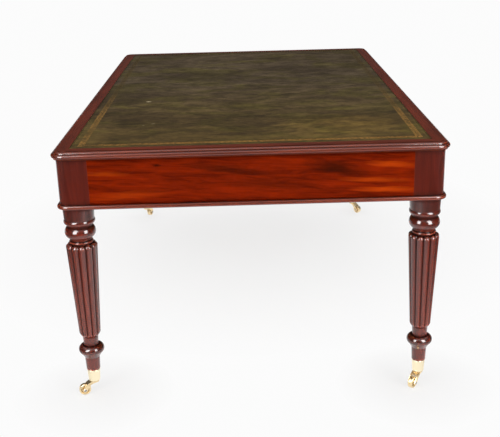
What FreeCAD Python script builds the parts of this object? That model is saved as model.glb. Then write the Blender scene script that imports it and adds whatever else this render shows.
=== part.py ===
import FreeCAD, Part
import os
from math import asin, cos, degrees, pi, sin

# Partners' writing table: a framed top with inset leather, three drawers in each long side,
# four turned and reeded legs, and brass swivel casters.
# Millimetres. X runs across the table, Y along it, +Z is up, the origin is on the floor in the middle.

V = FreeCAD.Vector
UP = V(0, 0, 1)
TOUCH = 1e-6                # two places closer than this are the same
QUARTER_ROUND = sin(pi / 4)  # share that makes a rounded corner a true quarter round

# The top
TOP_WIDTH = 1067.0          # nose to nose across
TOP_LENGTH = 1676.0         # nose to nose along
HEIGHT = 749.0              # floor to the flat of the border
TOP_THICKNESS = 22.0
TOP_OVERHANG = 12.0         # nose beyond the face of the frieze
BORDER_WIDTH = 46.5         # nose to leather
QUIRK_DEPTH = 1.2           # small step down from the flat to the shoulder
QUIRK_INSET = 20.5
SHOULDER_INSET = 7.0        # upper round of the edge, set back from the nose
SHOULDER_ROUND = 5.6
NOSE_HEIGHT = 10.8          # lower and wider round of the edge
NOSE_ROUND = 5.2
LISTEL_HEIGHT = 4.0         # plain strip under the nose
LISTEL_INSET = 6.0
LEATHER_THICKNESS = 1.6
LEATHER_SINK = 0.2          # leather below the border
LEATHER_GAP = 0.3           # leather to border, all round
TONGUE_LENGTH = 9.0         # board let into the border
TONGUE_THICKNESS = 8.0
GLUE_GAP = 0.2              # room for glue at the end of a tongue

# The frieze and its bead
FRIEZE_HEIGHT = 139.0
FRIEZE_CORNER = 24.0        # radius of the outer corners
BEAD_HEIGHT = 12.0
BEAD_PROJECTION = 8.0
BEAD_ROUND = 5.6            # radius along the upper and lower edge of the bead

# The frame
LEG_SQUARE = 88.0
END_RAIL_THICKNESS = 30.0
END_RAIL_HOUSING = 2.5      # shoulder of the end rail let into the leg
TENON_LENGTH = 28.0
TENON_THICKNESS = 12.0
TENON_SHOULDER = 18.0       # above and below the tenon of an end rail
UPPER_RAIL = 15.0           # height of the rail over the drawers
LOWER_RAIL = 22.0           # height of the rail under the drawers
RAIL_TENON_WIDTH = 40.0
RAIL_TENON_THICKNESS = 8.0
DIVIDER_WIDTH = 24.0
DIVIDER_TENON = 6.0         # height of the stub tenons of a divider
DIVIDER_TENON_MARGIN = 20.0
CENTRE_RAIL_THICKNESS = 20.0
CENTRE_RAIL_HOUSING = 8.0   # depth of its seat in the end rails
RUNNER_THICKNESS = 18.0
RUNNER_LEDGE = 20.0         # how far a runner reaches under a drawer
RUNNER_HOUSING = 5.0        # depth of its seat in the centre rail and the lower rail
GUIDE_HEIGHT = 26.0         # ridge on a runner that keeps a drawer straight
SCREW_RADIUS = 2.4
SCREW_LENGTH = 32.0
SCREW_HEAD_RADIUS = 4.8
SCREW_HEAD_HEIGHT = 3.0
SCREW_GAP = 0.1             # hole round a screw

# The drawers
DRAWERS_PER_SIDE = 3
DRAWER_GAP = 1.0            # drawer to frame at the sides and above
DRAWER_REST_GAP = 0.3       # drawer above its runners
DRAWER_BACK_GAP = 2.0       # drawer to centre rail
FRONT_THICKNESS = 22.0
COCK_BEAD_WIDTH = 3.2
COCK_BEAD_PROJECTION = 2.2
COCK_BEAD_ROUND = 1.3
SIDE_THICKNESS = 11.0
SIDE_DROP = 12.0            # top of a drawer side below the top of the front
BACK_THICKNESS = 10.0
BACK_DROP = 8.0             # top of a drawer back below the sides
BACK_HOUSING = 3.0          # drawer back let into the sides
BOTTOM_THICKNESS = 7.0
BOTTOM_RAISE = 7.0          # bottom panel above the lower edge of the sides
GROOVE_DEPTH = 5.0          # bottom panel let into sides and front
LAP = 6.0                   # wood left in front of the dovetails
TAILS = 3
TAIL_NARROW = 13.0          # height of a dovetail at its root
TAIL_FLARE = 2.2            # how much each flank spreads toward its end

# The drawer knobs
KNOB_RADIUS = 20.0
KNOB_PROJECTION = 33.0
KNOB_FACE_RADIUS = 16.5     # where the rim ends and the domed face begins
KNOB_FOOT_RADIUS = 13.5
KNOB_FOOT_HEIGHT = 4.0
KNOB_FOOT_BEVEL = 1.2
KNOB_NECK_RADIUS = 9.0
KNOB_NECK_AT = 11.0         # narrowest place, measured from the drawer front
KNOB_WIDEST_AT = 23.0
KNOB_RIM_HEIGHT = 5.0       # rounded rim between the widest place and the face
KNOB_SPIGOT_RADIUS = 7.0
KNOB_SPIGOT_GAP = 0.1
KNOB_SPACING = 250.0

# The upper turning of a leg, from the frieze down
DRUM_HEIGHT = 38.5
DRUM_RADIUS = 43.8
DRUM_LOW_RADIUS = 41.7
RING_HEIGHT = 13.0
RING_RADIUS = 43.6
RING_LOW_RADIUS = 39.6
COVE_HEIGHT = 7.0
COVE_RADIUS = 34.2
BULB_HEIGHT = 35.5
BULB_RADIUS = 43.1
FILLET_HEIGHT = 2.5
FILLET_RADIUS = 31.3
NECK_HEIGHT = 4.5
NECK_RADIUS = 29.0
ASTRAGAL_HEIGHT = 7.5
ASTRAGAL_RADIUS = 33.5
ASTRAGAL_EDGE_RADIUS = 29.8

# The reeding of a leg
REEDS = 12
REED_TOP_RADIUS = 43.6
REED_LOW_RADIUS = 29.6
REED_GROOVE = 0.885         # radius in the grooves over radius on the crests
REED_CORE_RADIUS = 31.0     # the plain turning inside the upper ends
REED_DOME = 9.0             # length of the domed upper ends
REED_DOME_DROP = 1.0        # tops of the domes below the astragal
REED_DOME_INSET = 0.15      # foot of a dome inside its reed
REED_TIP = 18.0             # length of the rounded lower ends
REED_TIP_BULGE = 0.6        # a half would make the lower ends straight cones
REED_SPARE = 0.6            # crests stay this far inside the turned envelope

# The lower turning of a leg, from the reeding down
LOW_NECK_HEIGHT = 28.0
LOW_NECK_RADIUS = 22.8
LOW_NECK_WAIST = 21.4
TORUS_HEIGHT = 25.0
TORUS_RADIUS = 36.7
TORUS_LOW_RADIUS = 30.5
CONE_HEIGHT = 14.0
FOOT_TOP_RADIUS = 21.6
FOOT_HEIGHT = 41.0
FOOT_LOW_RADIUS = 20.0
FOOT_ROUND = 5.0            # height of the rounded lower edge
FOOT_END_RADIUS = 18.6

# The casters
WHEEL_RADIUS = 17.0
WHEEL_WIDTH = 14.0
WHEEL_EDGE = 2.5            # rounding of the tread
WHEEL_WEB = 7.0             # thickness between hub and rim
WHEEL_RIM = 5.0             # depth of the rim
WHEEL_SLOPE = 1.75          # slant of the dish at hub and rim
WHEEL_ROOM = 2.0            # tread to yoke
HUB_RADIUS = 6.5
HUB_GAP = 0.4               # hub to cheek
HUB_WIDTH = 16.0
AXLE_RADIUS = 2.6
AXLE_FIT = 0.06
AXLE_HEAD_RADIUS = 4.2
AXLE_HEAD_HEIGHT = 1.8
TRAIL = 30.0                # swivel axis to axle
CHEEK_THICKNESS = 3.6
CHEEK_BOSS_RADIUS = 7.0
HORN_HALF_WIDTH = 7.4       # horn under the crown
HORN_SHOULDER_OUT = 26.4    # middle of the outer curve, from the swivel axis
HORN_SHOULDER_UP = 15.0     # the same place above the axle
HORN_THROAT_OUT = 16.5      # middle of the inner curve, from the swivel axis
HORN_THROAT_UP = 11.2       # the same place above the axle
CROWN_RADIUS = 13.5
CROWN_THICKNESS = 5.0
CROWN_ROUND = 1.8
SWIVEL_GAP = 1.2            # crown to cup
CUP_BOTTOM = 46.0
CUP_HEIGHT = 36.0
CUP_LOW_RADIUS = 16.5
CUP_RADIUS = 18.4
CUP_LIP_HEIGHT = 4.0
CUP_LIP_RADIUS = 19.0
CUP_FLOOR = 4.0
SPIGOT_RADIUS = 14.6        # end of the leg inside the cup
SPIGOT_LOW_RADIUS = 13.4
SPIGOT_RAISE = 4.5          # end of the spigot above the floor of the cup
SPIGOT_GAP = 0.15
PINTLE_RADIUS = 4.0
PINTLE_FIT = 0.06
PINTLE_HEAD_RADIUS = 6.5
PINTLE_HEAD_HEIGHT = 2.2
PINTLE_PLAY = 0.4           # rivet head above the floor of the cup
CUP_SCREW_RADIUS = 1.7
CUP_SCREW_HEAD = 3.3
CUP_SCREW_HEAD_HEIGHT = 1.4
CUP_SCREW_LENGTH = 11.0
CUP_SCREW_DROP = 8.5        # below the rim of the cup
CUP_SCREW_SINK = 0.4        # head let into the wall of the cup
CUP_SCREW_TURNS = (146, 326)  # where the two screws stand, in degrees

# Where each corner lies, the way its caster trails and the turn of the reeds on its leg, in degrees
CORNERS = {
    "front_left": (-1, -1, 192.0, 10.0),
    "front_right": (1, -1, 230.0, 3.0),
    "back_left": (-1, 1, 68.0, 3.0),
    "back_right": (1, 1, 313.0, 10.0),
}
SIDES = {"left": -1, "right": 1}

# Places that follow from the sizes
TOP_BOTTOM = HEIGHT - TOP_THICKNESS
FRIEZE_BOTTOM = TOP_BOTTOM - FRIEZE_HEIGHT
FRIEZE_X = TOP_WIDTH / 2 - TOP_OVERHANG
FRIEZE_Y = TOP_LENGTH / 2 - TOP_OVERHANG
LEATHER_BOTTOM = HEIGHT - LEATHER_SINK - LEATHER_THICKNESS
INNER_X = TOP_WIDTH / 2 - BORDER_WIDTH
INNER_Y = TOP_LENGTH / 2 - BORDER_WIDTH
LEG_X = FRIEZE_X - LEG_SQUARE / 2
LEG_Y = FRIEZE_Y - LEG_SQUARE / 2
BLOCK_X = FRIEZE_X - LEG_SQUARE
BLOCK_Y = FRIEZE_Y - LEG_SQUARE
OPENING_LOW = FRIEZE_BOTTOM + LOWER_RAIL
OPENING_HIGH = TOP_BOTTOM - UPPER_RAIL
OPENING_WIDTH = (2 * BLOCK_Y - (DRAWERS_PER_SIDE - 1) * DIVIDER_WIDTH) / DRAWERS_PER_SIDE
PITCH = OPENING_WIDTH + DIVIDER_WIDTH
CUP_TOP = CUP_BOTTOM + CUP_HEIGHT
CROWN_TOP = CUP_BOTTOM - SWIVEL_GAP
CROWN_LOW = CROWN_TOP - CROWN_THICKNESS
UPPER_HEIGHTS = (DRUM_HEIGHT, RING_HEIGHT, COVE_HEIGHT, BULB_HEIGHT,
                 FILLET_HEIGHT, NECK_HEIGHT, ASTRAGAL_HEIGHT)
LOWER_HEIGHTS = (LOW_NECK_HEIGHT, TORUS_HEIGHT, CONE_HEIGHT, FOOT_HEIGHT)
REED_TOP = FRIEZE_BOTTOM - sum(UPPER_HEIGHTS)
REED_BOTTOM = CUP_TOP + sum(LOWER_HEIGHTS)


def block(x0, x1, y0, y1, z0, z1):
    """A box between two opposite corners, given in either order."""
    low = V(min(x0, x1), min(y0, y1), min(z0, z1))
    return Part.makeBox(abs(x1 - x0), abs(y1 - y0), abs(z1 - z0), low)


def arc(a, b, c):
    """The arc from a through b to c."""
    return Part.Arc(a, b, c).toShape()


def polygon(points):
    """A flat face on a closed line of points."""
    return Part.Face(Part.makePolygon(points + points[:1]))


def rounded_plate(half_x, half_y, radius, z0, z1):
    """An upright plate with four rounded corners, centred on the origin."""
    edges = []
    corner_x = half_x - radius
    corner_y = half_y - radius
    ends = []
    for quarter, (sx, sy) in enumerate([(1, 1), (-1, 1), (-1, -1), (1, -1)]):
        centre = V(sx * corner_x, sy * corner_y, z0)
        turns = [(quarter + share) * pi / 2 for share in (0, 0.5, 1)]
        points = [centre + V(radius * cos(turn), radius * sin(turn), 0) for turn in turns]
        edges.append(arc(*points))
        ends.append((points[0], points[2]))
    for here, after in zip(ends, ends[1:] + ends[:1]):
        edges.append(Part.makeLine(here[1], after[0]))
    wire = Part.Wire(Part.__sortEdges__(edges))
    return Part.Face(wire).extrude(V(0, 0, z1 - z0))


def round_level(shape, level, radius):
    """Round every edge that lies flat at one height."""
    edges = []
    for edge in shape.Edges:
        box = edge.BoundBox
        if max(abs(box.ZMin - level), abs(box.ZMax - level)) < TOUCH:
            edges.append(edge)
    return shape.makeFillet(radius, edges)


def mitre_zone(nx, ny, depth, z0, z1):
    """The part of the outline that belongs to the side facing (nx, ny), cut at 45 degrees at its ends."""
    out_x = TOP_WIDTH / 2 + TOP_OVERHANG
    out_y = TOP_LENGTH / 2 + TOP_OVERHANG
    in_x = out_x - depth
    in_y = out_y - depth
    if ny:
        corners = [(-out_x, ny * out_y), (out_x, ny * out_y), (in_x, ny * in_y), (-in_x, ny * in_y)]
    else:
        corners = [(nx * out_x, -out_y), (nx * out_x, out_y), (nx * in_x, in_y), (nx * in_x, -in_y)]
    return polygon([V(x, y, z0) for x, y in corners]).extrude(V(0, 0, z1 - z0))


def four_sides(ring, depth, z0, z1):
    """Cut a ring into its four mitred lengths."""
    facing = {"front": (0, -1), "back": (0, 1), "left": (-1, 0), "right": (1, 0)}
    return {name: ring.common(mitre_zone(nx, ny, depth, z0, z1)) for name, (nx, ny) in facing.items()}


def turned(steps):
    """Turn a profile about the Z axis. A step is (r, z), or (r, z, r, z) for an arc through a point."""
    here = V(steps[0][0], 0, steps[0][1])
    start = here
    edges = []
    for step in steps[1:]:
        end = V(step[-2], 0, step[-1])
        if len(step) == 4:
            edges.append(arc(here, V(step[0], 0, step[1]), end))
        else:
            edges.append(Part.makeLine(here, end))
        here = end
    edges.append(Part.makeLine(here, start))
    return Part.Face(Part.Wire(edges)).revolve(V(0, 0, 0), UP, 360)


def corner_point(wide, end, share):
    """The middle of a rounded corner between an upright side at wide and a level side at end, both (r, z)."""
    return end[0] + share * (wide[0] - end[0]), wide[1] + share * (end[1] - wide[1])


def cap(radius, base, tip):
    """A point halfway along a spherical cap of this radius, from its rim at base to its top at tip."""
    rise = tip - base
    ball = (radius * radius + rise * rise) / (2 * rise)
    half_angle = asin(radius / abs(ball)) / 2
    return abs(ball) * sin(half_angle), tip - ball * (1 - cos(half_angle))


def levels(start, heights):
    """The heights of the steps of a turning, from its upper end down."""
    made = [start]
    for height in heights:
        made.append(made[-1] - height)
    return made


def solid(shape):
    """The single solid of a boolean result, with its split faces joined."""
    return shape.removeSplitter().Solids[0]


def border_plate(inset, z0, z1):
    """A plate with the outline of the top, drawn in by an inset."""
    corner = FRIEZE_CORNER + TOP_OVERHANG - inset
    return rounded_plate(TOP_WIDTH / 2 - inset, TOP_LENGTH / 2 - inset, corner, z0, z1)


def top_border():
    """The four mitred lengths of the moulded border, grooved for the tongue of the board."""
    listel = TOP_BOTTOM + LISTEL_HEIGHT
    nose_top = listel + NOSE_HEIGHT
    quirk = HEIGHT - QUIRK_DEPTH
    nose = border_plate(0, listel, nose_top)
    nose = round_level(nose, nose_top, NOSE_ROUND)
    nose = round_level(nose, listel, NOSE_ROUND)
    shoulder = border_plate(SHOULDER_INSET, (listel + nose_top) / 2, quirk)
    shoulder = round_level(shoulder, quirk, SHOULDER_ROUND)
    flat = border_plate(QUIRK_INSET, quirk, HEIGHT)
    strip = border_plate(LISTEL_INSET, TOP_BOTTOM, listel)
    ring = nose.fuse([shoulder, flat, strip])
    ring = ring.cut(block(-INNER_X, INNER_X, -INNER_Y, INNER_Y, TOP_BOTTOM, HEIGHT))
    ring = ring.cut(tongue(TONGUE_LENGTH + GLUE_GAP)).removeSplitter()
    return four_sides(ring, BORDER_WIDTH + 2 * TOP_OVERHANG, TOP_BOTTOM, HEIGHT)


def tongue(length):
    """The slab whose rim is the tongue of the board, or the groove for it."""
    low = (TOP_BOTTOM + LEATHER_BOTTOM - TONGUE_THICKNESS) / 2
    x = INNER_X + length
    y = INNER_Y + length
    return block(-x, x, -y, y, low, low + TONGUE_THICKNESS)


def top_board(screws):
    """The board under the leather, with a tongue on all four edges."""
    board = block(-INNER_X, INNER_X, -INNER_Y, INNER_Y, TOP_BOTTOM, LEATHER_BOTTOM)
    return solid(board.fuse(tongue(TONGUE_LENGTH)).cut(screws))


def leather():
    """The inset writing surface."""
    half_x = INNER_X - LEATHER_GAP
    half_y = INNER_Y - LEATHER_GAP
    return block(-half_x, half_x, -half_y, half_y, LEATHER_BOTTOM, LEATHER_BOTTOM + LEATHER_THICKNESS)


def frieze_beads():
    """The half-round bead along the lower edge of the frieze, in four mitred lengths."""
    top = FRIEZE_BOTTOM + BEAD_HEIGHT
    reach = BEAD_PROJECTION
    ring = rounded_plate(FRIEZE_X + reach, FRIEZE_Y + reach, FRIEZE_CORNER + reach, FRIEZE_BOTTOM, top)
    ring = round_level(ring, top, BEAD_ROUND)
    ring = round_level(ring, FRIEZE_BOTTOM, BEAD_ROUND)
    ring = ring.cut(rounded_plate(FRIEZE_X, FRIEZE_Y, FRIEZE_CORNER, FRIEZE_BOTTOM, top))
    return four_sides(ring, 2 * (TOP_OVERHANG + FRIEZE_CORNER), FRIEZE_BOTTOM, top)


def end_rail():
    """The deep rail across the back end, tenoned into two legs and housed for the centre rail."""
    inner_y = FRIEZE_Y - END_RAIL_THICKNESS
    half = BLOCK_X + END_RAIL_HOUSING
    rail = block(-half, half, inner_y, FRIEZE_Y, FRIEZE_BOTTOM, TOP_BOTTOM)
    reach = half + TENON_LENGTH
    tenon_y = inner_y + (END_RAIL_THICKNESS - TENON_THICKNESS) / 2
    low = FRIEZE_BOTTOM + TENON_SHOULDER
    high = TOP_BOTTOM - TENON_SHOULDER
    tenons = block(-reach, reach, tenon_y, tenon_y + TENON_THICKNESS, low, high)
    return solid(rail.fuse(tenons).cut(centre_rail_blank()))


def centre_rail_blank():
    """The long rail down the middle, before its housings are cut."""
    half_x = CENTRE_RAIL_THICKNESS / 2
    half_y = FRIEZE_Y - END_RAIL_THICKNESS + CENTRE_RAIL_HOUSING
    return block(-half_x, half_x, -half_y, half_y, FRIEZE_BOTTOM, TOP_BOTTOM)


def side_rail_blank(side, low, high):
    """A flat rail along one long side with a tenon at each end."""
    outer = side * FRIEZE_X
    inner = side * BLOCK_X
    rail = block(outer, inner, -BLOCK_Y, BLOCK_Y, low, high)
    reach = BLOCK_Y + TENON_LENGTH
    x = (outer + inner - RAIL_TENON_WIDTH) / 2
    z = (low + high - RAIL_TENON_THICKNESS) / 2
    tenons = block(x, x + RAIL_TENON_WIDTH, -reach, reach, z, z + RAIL_TENON_THICKNESS)
    return rail.fuse(tenons)


def dividers():
    """The four uprights between the drawers, with stub tenons into the rails."""
    made = []
    half = DIVIDER_WIDTH / 2
    for side in SIDES.values():
        for line in divider_lines():
            body = block(side * FRIEZE_X, side * BLOCK_X, line - half, line + half, OPENING_LOW, OPENING_HIGH)
            stub_out = side * (FRIEZE_X - DIVIDER_TENON_MARGIN)
            stub_in = side * (BLOCK_X + DIVIDER_TENON_MARGIN)
            low = OPENING_LOW - DIVIDER_TENON
            high = OPENING_HIGH + DIVIDER_TENON
            stub = block(stub_out, stub_in, line - half / 2, line + half / 2, low, high)
            made.append(solid(body.fuse(stub)))
    return made


def divider_lines():
    """Where the dividers stand along Y."""
    return [(number + 1 - DRAWERS_PER_SIDE / 2) * PITCH for number in range(DRAWERS_PER_SIDE - 1)]


def bearer_spans():
    """For each line of runners: its Y span, the Y span of its guide, and the Y span let into the rail."""
    half = DIVIDER_WIDTH / 2
    spans = []
    for line in divider_lines():
        wide = (line - half - RUNNER_LEDGE, line + half + RUNNER_LEDGE)
        spans.append((wide, (line - half, line + half), wide))
    end = FRIEZE_Y - END_RAIL_THICKNESS
    for sign in (-1, 1):
        lip = sign * (BLOCK_Y - RUNNER_LEDGE)
        spans.append(((lip, sign * end), (sign * BLOCK_Y, sign * end), (lip, sign * BLOCK_Y)))
    return spans


def bearers(low, high, guide_height):
    """The cross pieces from centre rail to side rail: runners with guides, or kickers without."""
    made = []
    face = CENTRE_RAIL_THICKNESS / 2
    seat = face - RUNNER_HOUSING
    tail = BLOCK_X + RUNNER_HOUSING
    for side in SIDES.values():
        for span, guide, stub in bearer_spans():
            piece = block(side * seat, side * BLOCK_X, span[0], span[1], low, high)
            piece = piece.fuse(block(side * BLOCK_X, side * tail, stub[0], stub[1], low, high))
            if guide_height:
                top = high + guide_height
                piece = piece.fuse(block(side * face, side * BLOCK_X, guide[0], guide[1], high, top))
            made.append(solid(piece))
    return made


def top_screws(extra):
    """Countersunk screws up through the kickers into the board, or the holes for them."""
    made = []
    head = SCREW_HEAD_RADIUS + extra
    shank = SCREW_RADIUS + extra
    length = SCREW_LENGTH + extra
    profile = [(0, 0), (head, 0), (shank, SCREW_HEAD_HEIGHT), (shank, length), (0, length)]
    for side in SIDES.values():
        for span, guide, stub in bearer_spans():
            screw = turned(profile)
            screw.translate(V(side * BLOCK_X / 2, (span[0] + span[1]) / 2, OPENING_HIGH))
            made.append(screw)
    return made


def leg_block():
    """The square head of a leg with its outer corner rounded."""
    half = LEG_SQUARE / 2
    head = block(-half, half, -half, half, FRIEZE_BOTTOM, TOP_BOTTOM)
    outer = []
    for edge in head.Edges:
        box = edge.BoundBox
        if box.XMin > 0 and box.YMin > 0 and box.ZLength > half:
            outer.append(edge)
    return head.makeFillet(FRIEZE_CORNER, outer)


def upper_turning():
    """Drum, ring, cove, bulb, neck and astragal."""
    z = levels(FRIEZE_BOTTOM, UPPER_HEIGHTS)
    steps = [(0, z[0]), (DRUM_RADIUS, z[0]), (DRUM_LOW_RADIUS, z[1])]
    steps += [(RING_RADIUS, (z[1] + z[2]) / 2, RING_LOW_RADIUS, z[2])]
    steps += [(COVE_RADIUS, (z[2] + 2 * z[3]) / 3, COVE_RADIUS, z[3])]
    steps += [(BULB_RADIUS, (z[3] + z[4]) / 2, FILLET_RADIUS, z[4])]
    steps += [(FILLET_RADIUS, z[5]), (NECK_RADIUS, (z[5] + z[6]) / 2, ASTRAGAL_EDGE_RADIUS, z[6])]
    steps += [(ASTRAGAL_RADIUS, (z[6] + z[7]) / 2, ASTRAGAL_EDGE_RADIUS, z[7]), (0, z[7])]
    return turned(steps)


def reed_wire(radius, level):
    """One cross section of the reeding: a ring of outward arcs."""
    step = 2 * pi / REEDS
    groove = radius * REED_GROOVE
    edges = []
    for reed in range(REEDS):
        turns = [(reed - 0.5) * step, reed * step, (reed + 0.5) * step]
        reach = [groove, radius, groove]
        edges.append(arc(*[V(r * cos(t), r * sin(t), level) for r, t in zip(reach, turns)]))
    return Part.Wire(edges)


def reed_domes(radius, level):
    """A dome on the upper end of each reed, where the crests have this radius."""
    half_step = pi / REEDS
    half_width = radius * REED_GROOVE * sin(half_step)
    rise = radius - radius * REED_GROOVE * cos(half_step)
    reed_radius = (half_width * half_width + rise * rise) / (2 * rise)
    foot = reed_radius - REED_DOME_INSET
    tip = level + REED_DOME - REED_DOME_DROP
    made = []
    for reed in range(REEDS):
        dome = turned([(0, level), (foot, level), (*cap(foot, level, tip), 0, tip)])
        dome.translate(V(radius - reed_radius, 0, 0))
        dome.rotate(V(0, 0, 0), UP, degrees(2 * half_step * reed))
        made.append(dome)
    return made


def reeding():
    """The tapered reeds with domed upper ends, their lower ends rounded by a turned envelope."""
    level = REED_TOP - REED_DOME
    taper = (REED_TOP_RADIUS - REED_LOW_RADIUS) / (level - REED_BOTTOM)
    ends = [reed_wire(REED_TOP_RADIUS, level), reed_wire(REED_LOW_RADIUS, REED_BOTTOM)]
    reeds = Part.makeLoft(ends, True, True)
    tip = (REED_LOW_RADIUS + taper * REED_TIP + REED_SPARE, REED_BOTTOM + REED_TIP)
    neck = (LOW_NECK_RADIUS, REED_BOTTOM)
    wide = REED_TOP_RADIUS + REED_SPARE
    steps = [(0, REED_TOP), (wide, REED_TOP), (wide, level), tip]
    steps += [(*corner_point(tip, neck, REED_TIP_BULGE), *neck), (0, REED_BOTTOM)]
    core = turned([(0, REED_TOP), (REED_CORE_RADIUS, REED_TOP), (REED_CORE_RADIUS, level), (0, level)])
    return reeds.common(turned(steps)).fuse([core] + reed_domes(REED_TOP_RADIUS, level))


def lower_turning():
    """Neck, torus, cone and foot, and the spigot that the caster cup fits over."""
    z = levels(REED_BOTTOM, LOWER_HEIGHTS)
    spigot_end = CUP_BOTTOM + CUP_FLOOR + SPIGOT_RAISE
    waist_z = (z[0] + 2 * z[1]) / 3
    foot = (FOOT_LOW_RADIUS, z[4] + FOOT_ROUND)
    end = (FOOT_END_RADIUS, z[4])
    steps = [(0, z[0]), (LOW_NECK_RADIUS, z[0]), (LOW_NECK_WAIST, waist_z, LOW_NECK_WAIST, z[1])]
    steps += [(TORUS_RADIUS, (z[1] + z[2]) / 2, TORUS_LOW_RADIUS, z[2]), (FOOT_TOP_RADIUS, z[3])]
    steps += [foot, (*corner_point(foot, end, QUARTER_ROUND), *end)]
    steps += [(SPIGOT_RADIUS, z[4]), (SPIGOT_LOW_RADIUS, spigot_end), (0, spigot_end)]
    return turned(steps)


def leg(rails, turn):
    """The leg at the back right, mortised for the three rails that meet in it, with its reeds at a turn."""
    reeds = reeding()
    reeds.rotate(V(0, 0, 0), UP, turn)
    body = solid(leg_block().fuse([upper_turning(), reeds, lower_turning()]))
    body.translate(V(LEG_X, LEG_Y, 0))
    return solid(body.cut(rails))


def to_corner(shape, sx, sy):
    """Mirror a piece of the back right corner into another corner."""
    if sx < 0:
        shape = shape.mirror(V(0, 0, 0), V(1, 0, 0))
    if sy < 0:
        shape = shape.mirror(V(0, 0, 0), V(0, 1, 0))
    return shape


def cup_screws(extra):
    """The two screws that hold a caster cup to its leg, or the holes for them."""
    level = CUP_TOP - CUP_SCREW_DROP
    head = CUP_SCREW_HEAD + extra
    shank = CUP_SCREW_RADIUS + extra
    seat = CUP_SCREW_LENGTH
    tip = seat + CUP_SCREW_HEAD_HEIGHT
    profile = [(0, 0), (shank, 0), (shank, seat), (head, seat), (*cap(head, seat, tip), 0, tip)]
    taper = (CUP_RADIUS - CUP_LOW_RADIUS) / (CUP_HEIGHT - CUP_LIP_HEIGHT)
    wall = CUP_LOW_RADIUS + taper * (level - CUP_BOTTOM)
    made = []
    for turn in CUP_SCREW_TURNS:
        screw = turned(profile)
        screw.rotate(V(0, 0, 0), V(0, 1, 0), 90)
        screw.translate(V(wall - CUP_SCREW_SINK - CUP_SCREW_LENGTH, 0, level))
        screw.rotate(V(0, 0, 0), UP, turn)
        made.append(screw)
    return made


def caster_cup():
    """The tapered brass socket over the end of the leg, with a hole for the pintle."""
    floor = CUP_BOTTOM + CUP_FLOOR
    lip = CUP_TOP - CUP_LIP_HEIGHT
    inner = SPIGOT_RADIUS + SPIGOT_GAP
    inner_low = SPIGOT_LOW_RADIUS + SPIGOT_GAP
    hole = PINTLE_RADIUS + PINTLE_FIT
    steps = [(hole, CUP_BOTTOM), (CUP_LOW_RADIUS, CUP_BOTTOM), (CUP_RADIUS, lip)]
    steps += [(CUP_LIP_RADIUS, (lip + CUP_TOP) / 2, CUP_RADIUS, CUP_TOP)]
    steps += [(inner, CUP_TOP), (inner_low, floor + SPIGOT_RAISE), (inner_low, floor), (hole, floor)]
    return turned(steps).cut(cup_screws(SCREW_GAP))


def horn_outline():
    """The side view of a horn: from the crown back and down to the boss round the axle."""
    top = CROWN_TOP - CROWN_ROUND
    axle = WHEEL_RADIUS
    crown_back = V(-HORN_HALF_WIDTH, 0, CROWN_LOW)
    top_back = V(-HORN_HALF_WIDTH, 0, top)
    top_front = V(HORN_HALF_WIDTH, 0, top)
    shoulder = V(HORN_SHOULDER_OUT, 0, axle + HORN_SHOULDER_UP)
    throat = V(HORN_THROAT_OUT, 0, axle + HORN_THROAT_UP)
    boss_out = V(TRAIL + CHEEK_BOSS_RADIUS, 0, axle)
    boss_low = V(TRAIL, 0, axle - CHEEK_BOSS_RADIUS)
    boss_in = V(TRAIL - CHEEK_BOSS_RADIUS, 0, axle)
    edges = [Part.makeLine(top_back, top_front), arc(top_front, shoulder, boss_out)]
    edges += [arc(boss_out, boss_low, boss_in), arc(boss_in, throat, crown_back)]
    edges += [Part.makeLine(crown_back, top_back)]
    return Part.Face(Part.Wire(edges))


def caster_fork():
    """Crown with its riveted pintle, and a yoke of two horns that carry the axle. It trails along +X."""
    head_low = CUP_BOTTOM + CUP_FLOOR + PINTLE_PLAY
    head_top = head_low + PINTLE_HEAD_HEIGHT
    steps = [(0, CROWN_LOW), (CROWN_RADIUS, CROWN_LOW), (CROWN_RADIUS, CROWN_TOP - CROWN_ROUND)]
    steps += [(CROWN_RADIUS - CROWN_ROUND, CROWN_TOP), (PINTLE_RADIUS, CROWN_TOP), (PINTLE_RADIUS, head_low)]
    steps += [(PINTLE_HEAD_RADIUS, head_low), (PINTLE_HEAD_RADIUS, (head_low + head_top) / 2)]
    steps += [(PINTLE_RADIUS, head_top), (0, head_top)]
    inside = HUB_WIDTH / 2 + HUB_GAP
    half = inside + CHEEK_THICKNESS
    yoke = horn_outline()
    yoke.translate(V(0, -half, 0))
    yoke = yoke.extrude(V(0, 2 * half, 0))
    across = V(0, 1, 0)
    room_radius = WHEEL_RADIUS + WHEEL_ROOM
    room = Part.makeCylinder(room_radius, 2 * inside, V(TRAIL, -inside, WHEEL_RADIUS), across)
    bore = Part.makeCylinder(AXLE_RADIUS + AXLE_FIT, 2 * half, V(TRAIL, -half, WHEEL_RADIUS), across)
    return solid(turned(steps).fuse(yoke).cut([room, bore]))


def on_axle(shape):
    """Turn a piece made round the Z axis so that it lies on the axle."""
    shape.rotate(V(0, 0, 0), V(1, 0, 0), 90)
    shape.translate(V(TRAIL, 0, WHEEL_RADIUS))
    return shape


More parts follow.
